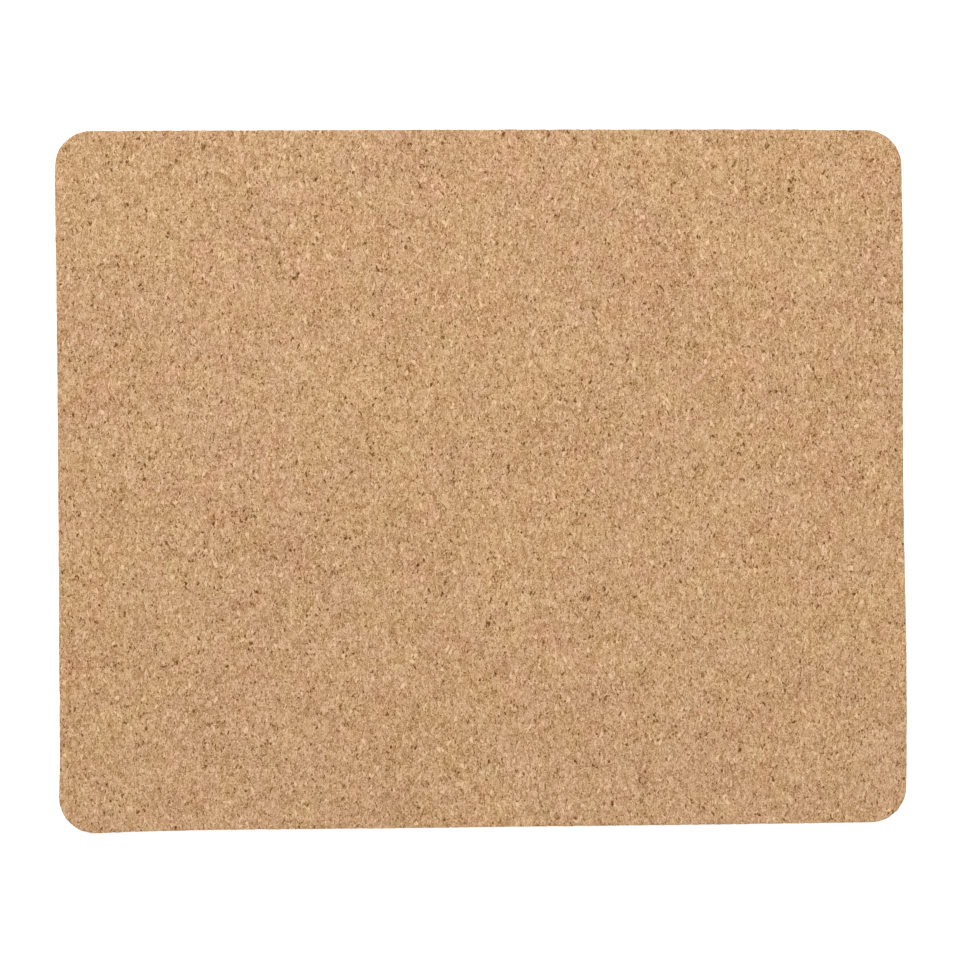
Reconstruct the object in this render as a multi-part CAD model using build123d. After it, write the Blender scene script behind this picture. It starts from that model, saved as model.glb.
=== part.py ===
"""A rectangular cork desk mat: three bonded plies, die-cut together to one rounded outline.

Frame: X runs along the long side, Y along the short side and Z up. The origin is the middle
of the underside, so the mat lies on the plane Z = 0. Lengths are in millimetres.
"""

import os

from build123d import *

# Driving dimensions
MAT_WIDTH = 230.0
MAT_DEPTH = 190.0
CORNER_RADIUS = 10.0
BASE_THICKNESS = 1.7
ADHESIVE_THICKNESS = 0.1
CORK_THICKNESS = 1.2

# The plies from the underside up: each lies face to face on the one before it
PLIES = (
    ("rubber_base", BASE_THICKNESS),
    ("adhesive_film", ADHESIVE_THICKNESS),
    ("cork_sheet", CORK_THICKNESS),
)


def mat_outline():
    """The cutting die's outline: a rectangle with four equal round corners."""
    return RectangleRounded(MAT_WIDTH, MAT_DEPTH, CORNER_RADIUS)


def ply(bottom, thickness):
    """One flat ply with upright cut edges, standing on the height `bottom`."""
    return extrude(Plane.XY.offset(bottom) * mat_outline(), amount=thickness)


def main():
    os.makedirs("parts", exist_ok=True)
    height = 0.0
    for name, thickness in PLIES:
        export_step(ply(height, thickness), f"parts/{name}.step")
        height += thickness


main()
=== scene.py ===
"""The looks of a cork desk mat: a ragged-edged cork sheet bonded to an embossed rubber base."""

import math

import bmesh
import bpy
import numpy as np
from mathutils import Euler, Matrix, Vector, noise


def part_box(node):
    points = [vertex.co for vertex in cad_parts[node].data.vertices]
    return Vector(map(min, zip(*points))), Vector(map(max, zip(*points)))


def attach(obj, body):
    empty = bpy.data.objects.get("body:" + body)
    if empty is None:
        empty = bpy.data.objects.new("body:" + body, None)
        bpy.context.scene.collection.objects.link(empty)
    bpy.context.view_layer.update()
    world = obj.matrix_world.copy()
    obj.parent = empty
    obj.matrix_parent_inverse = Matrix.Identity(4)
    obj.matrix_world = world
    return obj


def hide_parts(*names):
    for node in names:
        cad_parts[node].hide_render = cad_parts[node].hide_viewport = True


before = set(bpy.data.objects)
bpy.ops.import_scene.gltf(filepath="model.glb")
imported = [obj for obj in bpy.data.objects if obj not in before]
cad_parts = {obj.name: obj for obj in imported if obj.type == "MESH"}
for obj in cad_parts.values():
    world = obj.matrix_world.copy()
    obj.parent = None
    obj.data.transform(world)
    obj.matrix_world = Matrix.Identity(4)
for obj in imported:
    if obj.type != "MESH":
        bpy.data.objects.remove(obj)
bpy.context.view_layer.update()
MM = 0.001

# The mat's outline, from the CAD pieces
LOW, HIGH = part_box("cork_sheet")
HALF_WIDTH = HIGH.x
HALF_DEPTH = HIGH.y
CORNER_RADIUS = 10 * MM
# Each corner is cut by this many chords, and vertices this near to one count as on it
CORNER_CHORDS = 24
ON_CHORD = 0.004 * MM
CORK_TOP = HIGH.z
CORK_BOTTOM = LOW.z
BASE_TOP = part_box("rubber_base")[1].z

# The die was a little worn: where the cut edge wanders from the true outline.
# Each place is (x, y, how far outwards, how far along the edge), in millimetres.
EDGE_WANDER = (
    (-110, -95, 0.42, 10),
    (-115, -88, 0.14, 7),
    (-115, 76, 0.17, 14),
    (-114, 91, 0.12, 6),
    (-100, 95, -0.10, 9),
    (102, 95, -0.22, 9),
    (115, 85, -0.12, 5),
    (115, 52, 0.16, 16),
    (115, 6, -0.26, 20),
    (115, -54, 0.28, 15),
    (115, -86, -0.04, 6),
    (-115, -10, -0.12, 40),
    (-70, -95, -0.17, 18),
    (60, -95, 0.10, 26),
    (10, 95, 0.10, 40),
)
# How far inside the true outline each long side was cut
LONG_SIDE_TRIM = 0.35 * MM

# The cork's mesh: the size of its faces, and how far its vertices are shuffled, as a share of
# that. Its top edge is worn, and its relief is stronger at the cut side, where grains tore out.
CORK_PITCH = 0.76 * MM
CORK_SHUFFLE = 0.22
CORK_SEED = 7
WORN_EDGE = 0.14 * MM
CUT_SIDE_ROWS = 5
CUT_SIDE_ROUGHNESS = 2.5

# The adhesive bead: its faces, how far it keeps back from the cut edge, by how much that
# varies, and over what length
FILM_PITCH = 0.8 * MM
FILM_SETBACK = 0.06 * MM
FILM_WAVE = 0.06 * MM
FILM_WAVE_LENGTH = 2.5 * MM

# The rubber's embossing: flat square pips with V grooves between them
PIP_PITCH = 2.4 * MM
GROOVE_WIDTH = 0.7 * MM
GROOVE_DEPTH = 0.15 * MM
# How far from the mat's sides at -X and -Y the first grooves lie: the die cuts the sheet anywhere
FIRST_GROOVE = (0.9 * MM, 1.6 * MM)

# The cork's flecks: (spacing of the cells that may hold one, length, thickness, share of cells
# that do), in millimetres
DARK_FLECKS = (0.90, 0.47, 0.14, 0.62)
BARK_FLECKS = (2.70, 0.62, 0.24, 0.22)
PALE_FLECKS = (1.05, 0.46, 0.155, 0.52)

# How much each part of the cork's pattern lightens (or darkens) it
MEAN_TONE = -0.262
CUT_SIDE_TONE = -0.07
TONE_WEIGHTS = {
    "granule": 0.06,
    "crumb": 0.35,
    "fine": 0.98,
    "clump": 0.30,
    "soft": 0.09,
    "broad": 0.08,
    "dark": -0.42,
    "bark": -0.25,
    "pale": 0.40,
}

# Grains are longer along Y: how places are scaled before the grains are drawn
GRAIN_STRETCH = (1.08, 0.60, 1.0)
FINE_STRETCH = (1.0, 0.72, 1.0)
PALE_STRETCH = (1.1, 0.8, 1.0)
# The kinds of fleck are drawn this far apart in the pattern, so that they don't coincide
BARK_SHIFT = (3.0, 41.0, 9.0)
PALE_SHIFT = (31.0, 17.0, 5.0)

# The camera, which hangs above the mat and leans a little, and the light
CAMERA_DISTANCE = 0.6788
CAMERA_AIM = Vector((-0.00078, -0.00072, CORK_TOP))
CAMERA_TURN = Euler((math.radians(0.167), math.radians(-2.29), math.radians(-0.427)))
CAMERA_LENS = 93.6
SOFTBOX_PLACE = Vector((-0.02, 0.62, 0.88))
SOFTBOX_SIZE = 0.6
SOFTBOX_WATTS = 5.9
SKY_STRENGTH = 0.61
FLOOR_SIZE = 6.0
FLOOR_GREY = 0.93
FLOOR_GLOW = 0.62


# ---------------------------------------------------------------- node helper


class Net:
    """Adds nodes to one shader or geometry tree and joins them."""

    def __init__(self, tree):
        self.tree = tree

    def add(self, kind, **settings):
        node = self.tree.nodes.new(kind)
        for name, value in settings.items():
            setattr(node, name, value)
        return node

    def feed(self, socket, value):
        """Joins a socket to another one, or sets it to a plain value."""
        if isinstance(value, bpy.types.NodeSocket):
            self.tree.links.new(value, socket)
        else:
            socket.default_value = value

    def math(self, operation, *values):
        node = self.add("ShaderNodeMath", operation=operation)
        for socket, value in zip(node.inputs, values):
            self.feed(socket, value)
        return node.outputs[0]

    def vector(self, operation, *values):
        node = self.add("ShaderNodeVectorMath", operation=operation)
        sockets = node.inputs
        if operation == "SCALE":
            sockets = (node.inputs[0], node.inputs["Scale"])
        for socket, value in zip(sockets, values):
            self.feed(socket, value)
        return node.outputs["Value" if operation == "DOT_PRODUCT" else "Vector"]

    def noise(self, place, size, detail=2.0, roughness=0.5):
        """Noise with features of about `size`: (value, colour)."""
        node = self.add("ShaderNodeTexNoise", noise_dimensions="3D")
        self.feed(node.inputs["Vector"], place)
        self.feed(node.inputs["Scale"], 1 / size)
        self.feed(node.inputs["Detail"], detail)
        self.feed(node.inputs["Roughness"], roughness)
        return node.outputs[0], node.outputs[1]

    def cells(self, place, size):
        """Voronoi cells of about `size`."""
        node = self.add("ShaderNodeTexVoronoi", voronoi_dimensions="3D", feature="F1")
        self.feed(node.inputs["Vector"], place)
        self.feed(node.inputs["Scale"], 1 / size)
        return node.outputs

    def ramp_up(self, value, low, high, to_low=0.0, to_high=1.0):
        """Takes low..high smoothly to to_low..to_high."""
        node = self.add("ShaderNodeMapRange", interpolation_type="SMOOTHSTEP")
        for socket, number in zip(node.inputs, (value, low, high, to_low, to_high)):
            self.feed(socket, number)
        return node.outputs[0]

    def split(self, vector):
        node = self.add("ShaderNodeSeparateXYZ")
        self.feed(node.inputs[0], vector)
        return node.outputs


# ---------------------------------------------------------------- cork's grain


def flecks(net, place, spacing, length, thickness, share, crowding=0.0):
    """Spindles of random direction and size, one in some of the cells: 1 inside, 0 outside.

    `crowding` adds to the share of cells that hold one."""
    cell = net.cells(place, spacing)
    away = net.vector("SUBTRACT", place, cell["Position"])
    direction = net.vector("SUBTRACT", cell["Color"], (0.5, 0.5, 0.5))
    direction = net.vector("NORMALIZE", direction)
    along = net.vector("DOT_PRODUCT", away, direction)
    total = net.vector("DOT_PRODUCT", away, away)
    along_square = net.math("MULTIPLY", along, along)
    across_square = net.math("SUBTRACT", total, along_square)
    reach = net.math("MULTIPLY", along_square, 1 / length**2)
    reach = net.math("MULTIPLY_ADD", across_square, 1 / thickness**2, reach)
    colour = net.split(cell["Color"])
    smallness = net.math("MULTIPLY_ADD", colour[0], 1.8, 0.22)
    inside = net.ramp_up(net.math("MULTIPLY", reach, smallness), 1.2, 0.6)
    chance = net.math("FRACT", net.math("MULTIPLY", colour[2], 7.31))
    chance = net.math("SUBTRACT", chance, crowding)
    return net.math("MULTIPLY", inside, net.math("LESS_THAN", chance, share))


def grain(net, place):
    """Agglomerated cork: each place's tone and height, and what varies its roughness and hue."""
    millimetres = net.vector("SCALE", place, 1000.0)
    long_grain = net.vector("MULTIPLY", millimetres, GRAIN_STRETCH)
    _, sway = net.noise(long_grain, 0.8, detail=2.0)
    sway = net.vector("SUBTRACT", sway, (0.5, 0.5, 0.5))
    bent = net.vector("ADD", long_grain, net.vector("SCALE", sway, 0.9))
    for_bark = net.vector("ADD", bent, BARK_SHIFT)
    for_pale = net.vector("MULTIPLY_ADD", bent, PALE_STRETCH, PALE_SHIFT)

    granule = net.split(net.cells(bent, 1.9)["Color"])
    crumb = net.split(net.cells(bent, 0.45)["Color"])
    fine, _ = net.noise(net.vector("MULTIPLY", millimetres, FINE_STRETCH), 0.30, detail=1.0)
    clump, _ = net.noise(bent, 1.3, detail=2.0)
    soft, _ = net.noise(millimetres, 6.0, detail=2.0)
    broad, _ = net.noise(millimetres, 40.0, detail=2.0)
    crowding, _ = net.noise(millimetres, 3.5, detail=1.0)
    crowding = net.ramp_up(crowding, 0.3, 0.7, -0.4, 0.4)
    parts = {
        "granule": granule[0],
        "crumb": crumb[0],
        "fine": fine,
        "clump": clump,
        "soft": soft,
        "broad": broad,
        "dark": flecks(net, bent, *DARK_FLECKS, crowding),
        "bark": flecks(net, for_bark, *BARK_FLECKS, crowding),
        "pale": flecks(net, for_pale, *PALE_FLECKS),
    }
    cut_side = net.ramp_up(net.split(place)[2], CORK_TOP - 0.06 * MM, CORK_TOP - 0.3 * MM)
    tone = net.math("MULTIPLY_ADD", cut_side, CUT_SIDE_TONE, MEAN_TONE)
    for name, weight in TONE_WEIGHTS.items():
        tone = net.math("MULTIPLY_ADD", parts[name], weight, tone)

    height = net.math("MULTIPLY", granule[2], 0.045)
    height = net.math("MULTIPLY_ADD", crumb[1], 0.02, height)
    height = net.math("MULTIPLY_ADD", parts["dark"], -0.09, height)
    height = net.math("MULTIPLY_ADD", parts["bark"], -0.09, height)
    height = net.math("MULTIPLY_ADD", fine, 0.03, height)
    height = net.math("SUBTRACT", height, 0.05)
    drift = net.math("ADD", soft, broad)
    return {"tone": tone, "height_mm": height, "fine": fine, "drift": drift}


# ---------------------------------------------------------------- shapes


def outwards(x, y):
    """The direction straight out of the mat's side, for places on or near its outline."""
    a = np.maximum(np.abs(x) - (HALF_WIDTH - CORNER_RADIUS), 0) * np.sign(x)
    b = np.maximum(np.abs(y) - (HALF_DEPTH - CORNER_RADIUS), 0) * np.sign(y)
    size = np.maximum(np.hypot(a, b), 1e-9)
    return a / size, b / size


def wander(x, y):
    """Moves points by the die's errors, which fade out towards the middle of the mat."""
    moved_x, moved_y = x.copy(), y * (1 - LONG_SIDE_TRIM / HALF_DEPTH)
    for at_x, at_y, push, spread in EDGE_WANDER:
        out_x, out_y = outwards(at_x * MM, at_y * MM)
        away = np.hypot(x - at_x * MM, y - at_y * MM) / (spread * MM)
        fading = push * MM * np.exp(-0.5 * away**2)
        moved_x += fading * out_x
        moved_y += fading * out_y
    return moved_x, moved_y


def depth_inside(place):
    """How far a place lies inside the mat's outline."""
    a = HALF_WIDTH - CORNER_RADIUS - abs(place.x)
    b = HALF_DEPTH - CORNER_RADIUS - abs(place.y)
    if a < 0 and b < 0:
        return CORNER_RADIUS - math.hypot(a, b)
    return CORNER_RADIUS + min(a, b)


def spaced(half, pitch):
    """Evenly spaced places from -half to half, about `pitch` apart."""
    return np.linspace(-half, half, round(2 * half / pitch) + 1)


def rounded_sheet(across, along, height):
    """A flat grid of faces, cut to the mat's outline with its four round corners."""
    x, y = np.meshgrid(across, along)
    points = np.column_stack([x.ravel(), y.ravel(), np.full(x.size, height)])
    base = np.arange(x.size).reshape(x.shape)
    quads = np.stack([base[:-1, :-1], base[:-1, 1:], base[1:, 1:], base[1:, :-1]], axis=-1)
    mesh = bpy.data.meshes.new("sheet")
    mesh.from_pydata(points.tolist(), [], quads.reshape(-1, 4).tolist())
    shape = bmesh.new()
    shape.from_mesh(mesh)
    bpy.data.meshes.remove(mesh)
    for sign_x in (-1, 1):
        for sign_y in (-1, 1):
            round_corner(shape, sign_x, sign_y, height)
    return shape


def round_corner(shape, sign_x, sign_y, height):
    """Cuts one corner of a sheet to its arc, chord by chord."""
    centre_x = sign_x * (HALF_WIDTH - CORNER_RADIUS)
    centre_y = sign_y * (HALF_DEPTH - CORNER_RADIUS)
    centre = Vector((centre_x, centre_y, height))

    def in_corner(vertex):
        return sign_x * (vertex.co.x - centre.x) > 0 and sign_y * (vertex.co.y - centre.y) > 0

    faces = [face for face in shape.faces if any(in_corner(vertex) for vertex in face.verts)]
    edges = dict.fromkeys(edge for face in faces for edge in face.edges)
    vertices = dict.fromkeys(vertex for face in faces for vertex in face.verts)
    near = [*faces, *edges, *vertices]
    reach = CORNER_RADIUS * math.cos(math.pi / 4 / CORNER_CHORDS)
    for chord in range(CORNER_CHORDS):
        angle = (chord + 0.5) / CORNER_CHORDS * math.pi / 2
        normal = Vector((sign_x * math.cos(angle), sign_y * math.sin(angle), 0.0))
        cut = bmesh.ops.bisect_plane(
            shape,
            geom=near,
            dist=ON_CHORD,
            plane_co=centre + normal * reach,
            plane_no=normal,
            clear_outer=True,
        )
        near = [part for part in cut["geom"] if part.is_valid]


def open_rim(parts):
    """The edges among `parts` that have a face on one side only."""
    return [part for part in parts if isinstance(part, bmesh.types.BMEdge) and part.is_boundary]


def add_wall(shape, profile, rim_inset=0.0):
    """Draws the open rim out through (inset from the outline, height) steps, then closes it."""
    layer = shape.verts.layers.float.new("inset")
    rim = open_rim(shape.edges)
    for edge in rim:
        for vertex in edge.verts:
            vertex[layer] = rim_inset
    for inset, height in profile:
        drawn = bmesh.ops.extrude_edge_only(shape, edges=rim)["geom"]
        for part in drawn:
            if isinstance(part, bmesh.types.BMVert):
                part.co.z = height
                part[layer] = inset
        rim = open_rim(drawn)
    bmesh.ops.contextual_create(shape, geom=rim)


def places(mesh):
    """The mesh's vertices, as rows of x, y and z."""
    numbers = np.zeros(len(mesh.vertices) * 3)
    mesh.vertices.foreach_get("co", numbers)
    return numbers.reshape(-1, 3)


def insets(mesh):
    """How far each vertex lies in from the outline, as add_wall noted it."""
    numbers = np.zeros(len(mesh.vertices))
    mesh.attributes["inset"].data.foreach_get("value", numbers)
    return numbers


def as_piece(shape, name):
    """Makes an object of the shape, with its side walls moved in by their insets."""
    bmesh.ops.recalc_face_normals(shape, faces=shape.faces)
    mesh = bpy.data.meshes.new(name)
    shape.to_mesh(mesh)
    shape.free()
    points = places(mesh)
    inset = insets(mesh)
    out_x, out_y = outwards(points[:, 0], points[:, 1])
    x, y = points[:, 0] - inset * out_x, points[:, 1] - inset * out_y
    points[:, 0], points[:, 1] = wander(x, y)
    mesh.vertices.foreach_set("co", points.ravel())
    mesh.update()
    piece = bpy.data.objects.new(name, mesh)
    bpy.context.scene.collection.objects.link(piece)
    return piece


def carve_grain(piece, strength):
    """Moves each vertex along its normal by the grain's height there, times `strength`."""
    mesh = piece.data
    mesh.attributes.new("relief", "FLOAT", "POINT").data.foreach_set("value", strength)
    tree = bpy.data.node_groups.new(piece.name + "_relief", "GeometryNodeTree")
    for direction in ("INPUT", "OUTPUT"):
        tree.interface.new_socket("Geometry", in_out=direction, socket_type="NodeSocketGeometry")
    net = Net(tree)
    start, end = net.add("NodeGroupInput"), net.add("NodeGroupOutput")
    position = net.add("GeometryNodeInputPosition").outputs[0]
    normal = net.add("GeometryNodeInputNormal").outputs[0]
    relief = net.add("GeometryNodeInputNamedAttribute", data_type="FLOAT")
    relief.inputs["Name"].default_value = "relief"
    height = net.math("MULTIPLY", grain(net, position)["height_mm"], relief.outputs[0])
    offset = net.vector("SCALE", normal, net.math("MULTIPLY", height, MM))
    move = net.add("GeometryNodeSetPosition")
    net.feed(move.inputs["Geometry"], start.outputs[0])
    net.feed(move.inputs["Offset"], offset)
    net.feed(end.inputs[0], move.outputs[0])
    modifier = piece.modifiers.new("relief", "NODES")
    modifier.node_group = tree
    depsgraph = bpy.context.evaluated_depsgraph_get()
    carved = bpy.data.meshes.new_from_object(piece.evaluated_get(depsgraph))
    piece.modifiers.clear()
    piece.data = carved
    bpy.data.node_groups.remove(tree)


def shade_smooth(piece, angle):
    mesh = piece.data
    mesh.polygons.foreach_set("use_smooth", [True] * len(mesh.polygons))
    mesh.set_sharp_from_angle(angle=angle)


# ---------------------------------------------------------------- materials


def srgb(*levels):
    """A display colour of 0 to 255 as the linear colour that a shader takes."""
    linear = []
    for level in levels:
        share = level / 255
        linear.append(share / 12.92 if share <= 0.04045 else ((share + 0.055) / 1.055) ** 2.4)
    return (*linear, 1.0)


def new_material(name):
    material = bpy.data.materials.new(name)
    material.use_nodes = True
    net = Net(material.node_tree)
    net.tree.nodes.clear()
    output = net.add("ShaderNodeOutputMaterial")
    shader = net.add("ShaderNodeBsdfPrincipled")
    net.feed(output.inputs["Surface"], shader.outputs[0])
    return material, net, shader


def colour_ramp(net, value, stops):
    """The colour at `value` between stops of (place, colour)."""
    node = net.add("ShaderNodeValToRGB")
    ramp = node.color_ramp
    while len(ramp.elements) < len(stops):
        ramp.elements.new(0.5)
    for element, (place, colour) in zip(ramp.elements, stops):
        element.position = place
        element.color = colour
    net.feed(node.inputs[0], value)
    return node.outputs[0]


def bumped(net, shader, height):
    """Gives the shader a bump of `height` metres."""
    bump = net.add("ShaderNodeBump")
    bump.inputs["Strength"].default_value = 1.0
    bump.inputs["Distance"].default_value = 1.0
    net.feed(bump.inputs["Height"], height)
    net.feed(shader.inputs["Normal"], bump.outputs[0])


def cork_material():
    """Cork: the grain's tones, tinted by patches and wide zones of slightly different hue."""
    material, net, shader = new_material("cork")
    place = net.add("ShaderNodeTexCoord").outputs["Object"]
    field = grain(net, place)
    tan = colour_ramp(net, field["tone"], (
        (0.00, srgb(90, 51, 12)),
        (0.20, srgb(126, 80, 28)),
        (0.40, srgb(156, 112, 63)),
        (0.66, srgb(200, 157, 115)),
        (0.80, srgb(217, 176, 136)),
        (1.00, srgb(240, 202, 162)),
    ))
    millimetres = net.vector("SCALE", place, 1000.0)
    _, patches = net.noise(millimetres, 8.0, detail=3.0)
    _, zones = net.noise(millimetres, 60.0, detail=1.0)
    tint = net.vector("MULTIPLY_ADD", patches, (0.105, 0.135, 0.215), (0.956, 0.89, 0.864))
    tint = net.vector("MULTIPLY_ADD", zones, (0.02, 0.02, 0.09), tint)
    tint = net.vector("ADD", tint, net.vector("SCALE", (-0.018, 0.036, -0.022), field["drift"]))
    net.feed(shader.inputs["Base Color"], net.vector("MULTIPLY", tan, tint))
    net.feed(shader.inputs["Roughness"], net.math("MULTIPLY_ADD", field["fine"], 0.2, 0.66))
    shader.inputs["Specular IOR Level"].default_value = 0.3
    bumped(net, shader, net.math("MULTIPLY", field["height_mm"], MM * 0.25))
    return material


def rubber_material():
    """Matt dark rubber: cut marks down its side, and dust on the pips it lies on."""
    material, net, shader = new_material("rubber")
    place = net.vector("SCALE", net.add("ShaderNodeTexCoord").outputs["Object"], 1000.0)
    height = net.split(place)[2]
    blotch, _ = net.noise(place, 9.0, detail=3.0)
    grit, _ = net.noise(place, 0.12, detail=2.0)
    speck, _ = net.noise(place, 0.7, detail=3.0)
    streak, _ = net.noise(net.vector("MULTIPLY", place, (1.0, 1.0, 0.12)), 0.4, detail=3.0)
    dust = net.math("MULTIPLY", net.ramp_up(height, 0.04, 0.0), net.ramp_up(speck, 0.45, 0.75))
    shade = net.math("MULTIPLY_ADD", grit, 0.35, net.math("MULTIPLY", blotch, 0.35))
    shade = net.math("MULTIPLY_ADD", streak, 0.30, shade)
    shade = net.math("MULTIPLY_ADD", dust, 0.30, shade)
    colour = colour_ramp(net, shade, (
        (0.30, srgb(40, 39, 38)),
        (0.50, srgb(56, 55, 53)),
        (0.65, srgb(76, 74, 71)),
        (0.90, srgb(128, 123, 115)),
    ))
    net.feed(shader.inputs["Base Color"], colour)
    net.feed(shader.inputs["Roughness"], net.ramp_up(blotch, 0.3, 0.7, 0.62, 0.78))
    shader.inputs["Specular IOR Level"].default_value = 0.35
    relief = net.math("MULTIPLY_ADD", streak, 0.05, net.math("MULTIPLY", grit, 0.02))
    bumped(net, shader, net.math("MULTIPLY", relief, MM))
    return material


def adhesive_material():
    """Dull amber, a little streaky."""
    material, net, shader = new_material("adhesive")
    place = net.vector("SCALE", net.add("ShaderNodeTexCoord").outputs["Object"], 1000.0)
    streak, _ = net.noise(place, 1.6, detail=3.0)
    colour = colour_ramp(net, streak, (
        (0.35, srgb(122, 92, 56)),
        (0.65, srgb(168, 136, 92)),
    ))
    net.feed(shader.inputs["Base Color"], colour)
    net.feed(shader.inputs["Roughness"], net.ramp_up(streak, 0.3, 0.7, 0.40, 0.60))
    bumped(net, shader, net.math("MULTIPLY", streak, MM * 0.03))
    return material


# ---------------------------------------------------------------- pieces


def cork_sheet():
    """The cork: its top edge a little worn, its cut side rough where grains tore out."""
    rng = np.random.default_rng(CORK_SEED)
    shape = rounded_sheet(spaced(HALF_WIDTH, CORK_PITCH), spaced(HALF_DEPTH, CORK_PITCH), CORK_TOP)
    shift = rng.uniform(-CORK_SHUFFLE, CORK_SHUFFLE, (len(shape.verts), 2))
    for vertex, (by_x, by_y) in zip(shape.verts, shift):
        if not vertex.is_boundary:
            room = min(CORK_PITCH, depth_inside(vertex.co))
            vertex.co.x += by_x * room
            vertex.co.y += by_y * room
    bmesh.ops.subdivide_edges(shape, edges=open_rim(shape.edges), cuts=1)
    wall_top = CORK_TOP - WORN_EDGE
    profile = [(0.04 * MM, CORK_TOP - 0.05 * MM), (0.0, wall_top)]
    for row in range(1, CUT_SIDE_ROWS + 1):
        profile.append((0.0, wall_top - (wall_top - CORK_BOTTOM) * row / CUT_SIDE_ROWS))
    add_wall(shape, profile, rim_inset=WORN_EDGE)
    piece = as_piece(shape, "cork_surface")
    height = places(piece.data)[:, 2]
    strength = np.where(height > CORK_TOP - 0.001 * MM, 1.0, CUT_SIDE_ROUGHNESS)
    strength[height < CORK_BOTTOM + 0.001 * MM] = 0.0
    carve_grain(piece, strength)
    shade_smooth(piece, math.radians(60))
    return piece


def adhesive_film():
    """The bond line: a thin bead that keeps back from the cut edge by varying amounts."""
    across, along = spaced(HALF_WIDTH, FILM_PITCH), spaced(HALF_DEPTH, FILM_PITCH)
    shape = rounded_sheet(across, along, CORK_BOTTOM)
    bmesh.ops.dissolve_faces(shape, faces=shape.faces[:])
    middle = (CORK_BOTTOM + BASE_TOP) / 2
    add_wall(shape, [(-0.02 * MM, middle), (0.0, BASE_TOP)])
    layer = shape.verts.layers.float["inset"]
    for vertex in shape.verts:
        place = Vector((vertex.co.x, vertex.co.y, 0.0)) / FILM_WAVE_LENGTH
        vertex[layer] += FILM_SETBACK + FILM_WAVE * noise.noise(place)
    piece = as_piece(shape, "bond_line")
    shade_smooth(piece, math.radians(50))
    return piece


def groove_lines(half, first):
    """The lines of one direction's grooves (both lips and the bottom of each), with the two ends."""
    bottoms = np.arange(first - half, half, PIP_PITCH)
    lines = (bottoms[:, None] + np.array([-0.5, 0.0, 0.5]) * GROOVE_WIDTH).ravel()
    lines = lines[np.abs(lines) < half - 0.05 * MM]
    return bottoms, np.concatenate([[-half], lines, [half]])


def groove_share(place, bottoms):
    """How far down a groove a place is: 1 at the bottom, 0 on a pip."""
    return max(0.0, 1 - np.abs(bottoms - place).min() / (GROOVE_WIDTH / 2))


def rubber_base():
    """The rubber: pips and grooves underneath, and a die-cut side that is a little hollow."""
    bottoms_x, across = groove_lines(HALF_WIDTH, FIRST_GROOVE[0])
    bottoms_y, along = groove_lines(HALF_DEPTH, FIRST_GROOVE[1])
    shape = rounded_sheet(across, along, 0.0)
    for vertex in shape.verts:
        share = max(groove_share(vertex.co.x, bottoms_x), groove_share(vertex.co.y, bottoms_y))
        vertex.co.z = GROOVE_DEPTH * share
    profile = [(0.03 * MM, 0.4 * MM), (0.05 * MM, 0.9 * MM), (0.03 * MM, 1.35 * MM)]
    add_wall(shape, [*profile, (0.0, BASE_TOP - 0.03 * MM), (0.03 * MM, BASE_TOP)], rim_inset=0.01 * MM)
    piece = as_piece(shape, "grip_base")
    shade_smooth(piece, math.radians(15))
    return piece


def finish_piece(piece, node, material):
    """Gives a piece its material, and has it stand for a CAD node."""
    piece.data.materials.clear()
    piece.data.materials.append(material)
    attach(piece, "root")
    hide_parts(node)


# ---------------------------------------------------------------- stage


def softbox():
    """A large soft lamp behind and above the mat, turned to the origin."""
    data = bpy.data.lights.new("softbox", "AREA")
    data.shape = "SQUARE"
    data.size = SOFTBOX_SIZE
    data.energy = SOFTBOX_WATTS
    lamp = bpy.data.objects.new("softbox", data)
    lamp.location = SOFTBOX_PLACE
    lamp.rotation_euler = (-SOFTBOX_PLACE).to_track_quat("-Z", "Y").to_euler()
    bpy.context.scene.collection.objects.link(lamp)


def pale_floor():
    """A plain floor that glows a little, so that it comes out white."""
    mesh = bpy.data.meshes.new("floor")
    shape = bmesh.new()
    bmesh.ops.create_grid(shape, x_segments=1, y_segments=1, size=FLOOR_SIZE)
    shape.to_mesh(mesh)
    shape.free()
    floor = bpy.data.objects.new("floor", mesh)
    bpy.context.scene.collection.objects.link(floor)
    material, _, shader = new_material("floor")
    shader.inputs["Base Color"].default_value = (FLOOR_GREY, FLOOR_GREY, FLOOR_GREY, 1.0)
    shader.inputs["Roughness"].default_value = 0.9
    shader.inputs["Emission Color"].default_value = (1.0, 1.0, 1.0, 1.0)
    shader.inputs["Emission Strength"].default_value = FLOOR_GLOW
    mesh.materials.append(material)


def white_sky():
    """Even light from all round, with colours shown just as they are rendered."""
    world = bpy.data.worlds.new("studio")
    world.use_nodes = True
    background = world.node_tree.nodes["Background"]
    background.inputs["Color"].default_value = (1.0, 1.0, 1.0, 1.0)
    background.inputs["Strength"].default_value = SKY_STRENGTH
    bpy.context.scene.world = world
    bpy.context.scene.view_settings.view_transform = "Standard"


def camera():
    """The camera, from its distance, aim and turn."""
    data = bpy.data.cameras.new("camera")
    data.lens = CAMERA_LENS
    data.sensor_width = 36.0
    data.clip_start = 0.01
    eye = bpy.data.objects.new("camera", data)
    eye.rotation_euler = CAMERA_TURN
    eye.location = CAMERA_AIM + CAMERA_TURN.to_matrix() @ Vector((0.0, 0.0, CAMERA_DISTANCE))
    bpy.context.scene.collection.objects.link(eye)
    bpy.context.scene.camera = eye


camera()
pale_floor()
white_sky()
softbox()
finish_piece(cork_sheet(), "cork_sheet", cork_material())
finish_piece(adhesive_film(), "adhesive_film", adhesive_material())
finish_piece(rubber_base(), "rubber_base", rubber_material())

bpy.context.view_layer.update()
